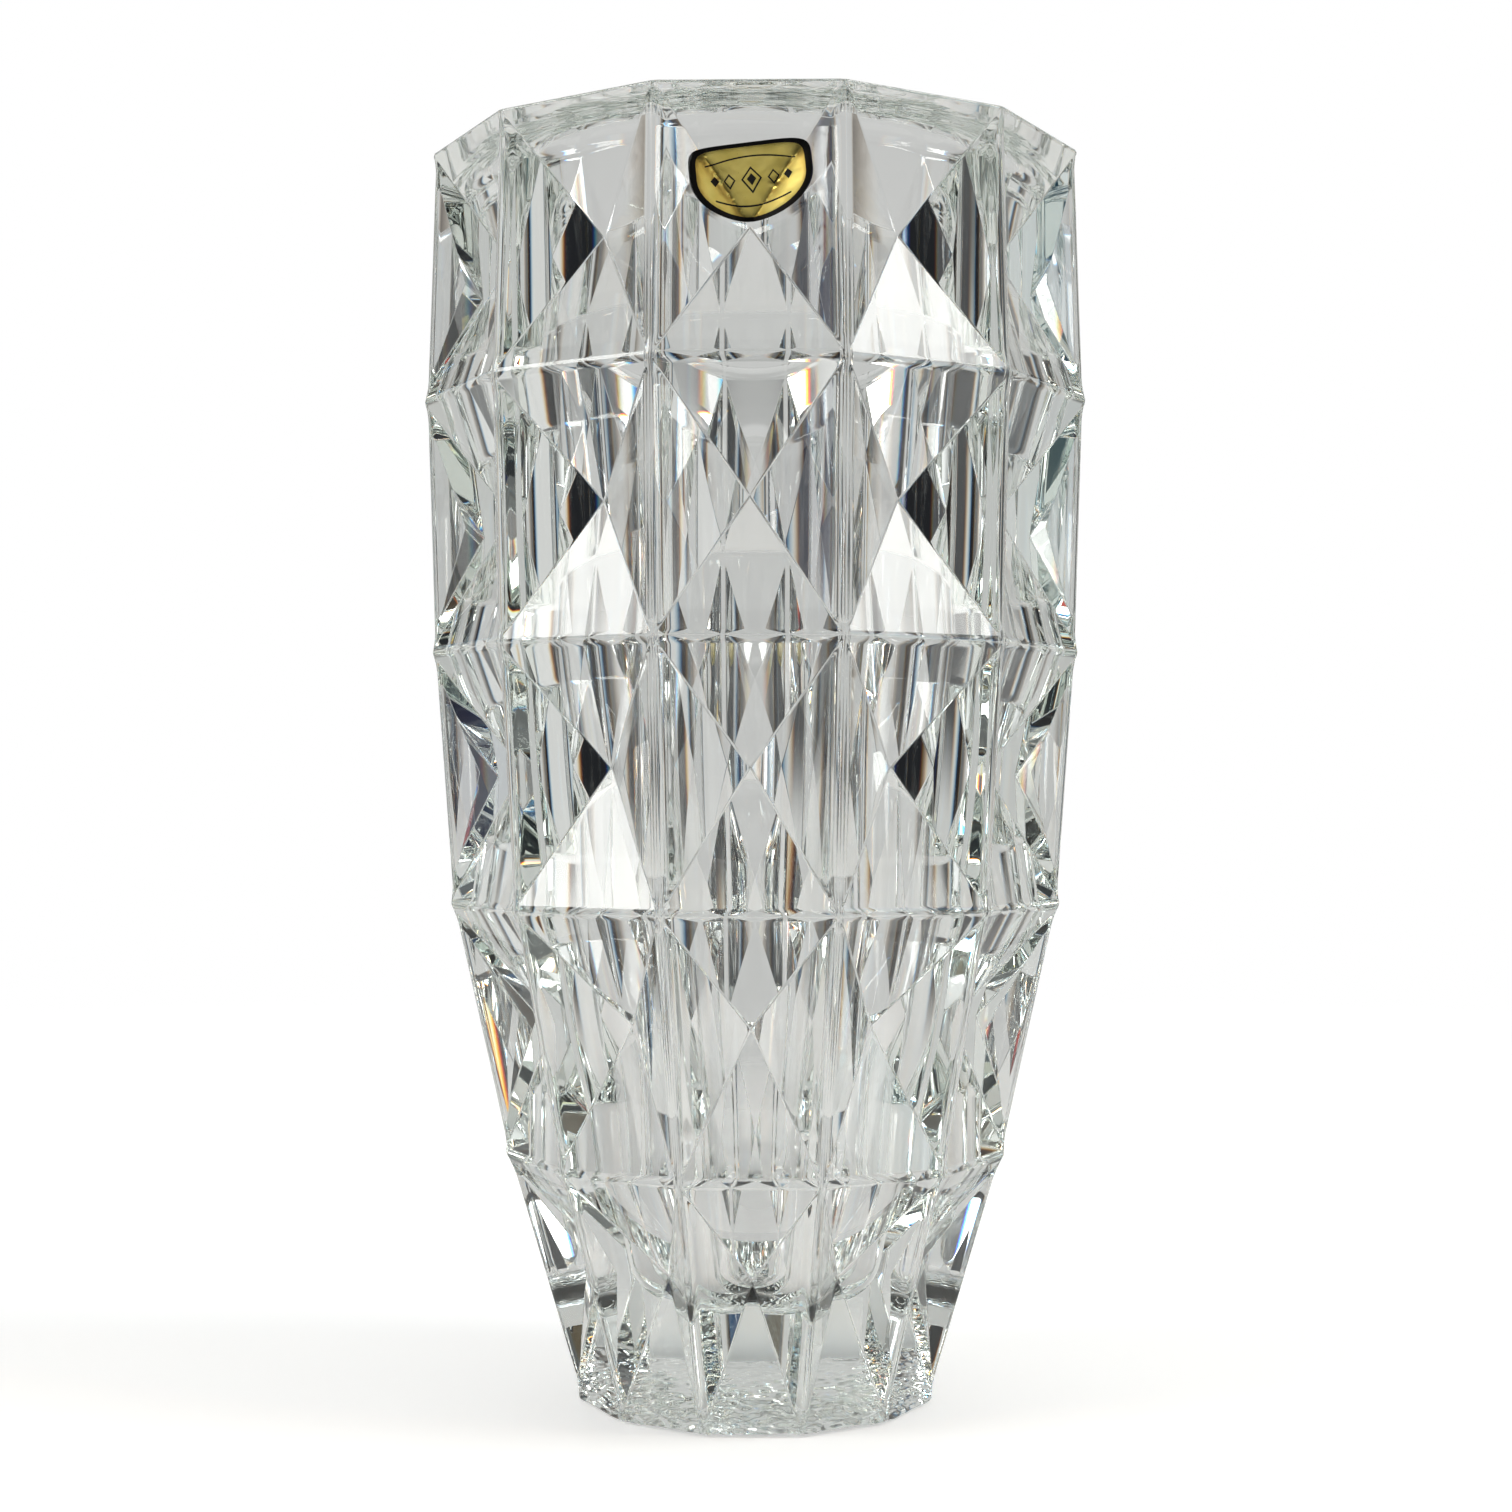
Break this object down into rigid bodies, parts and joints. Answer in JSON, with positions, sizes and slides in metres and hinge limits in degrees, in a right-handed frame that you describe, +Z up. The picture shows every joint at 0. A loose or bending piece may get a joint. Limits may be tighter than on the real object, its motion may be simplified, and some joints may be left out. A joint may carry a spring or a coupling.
{
  "type": "cut crystal vase",
  "caption": "Tall tapered cut crystal vase with a twelve-sided body of tiered, sunk pyramid facets, a smooth round hollow, a thick base and a small gold foil label.",
  "frame": {"origin": "centre of the foot, on the plane that the vase stands on", "axes": "+Z up along the vase's axis; -Y is the front, through the middle of the panel column that has the foil label; +X is to the right seen from the front"},
  "size_m": [0.1574, 0.1574, 0.3],
  "materials": {
    "crystal_glass": "clear polished crystal, colourless with a very slight cool tint",
    "gold_foil": "satin gold foil with a black printed border"
  },
  "bodies": {
    "root": {"glass_body": "crystal_glass", "foil_label": "gold_foil"}
  },
  "joints": []
}
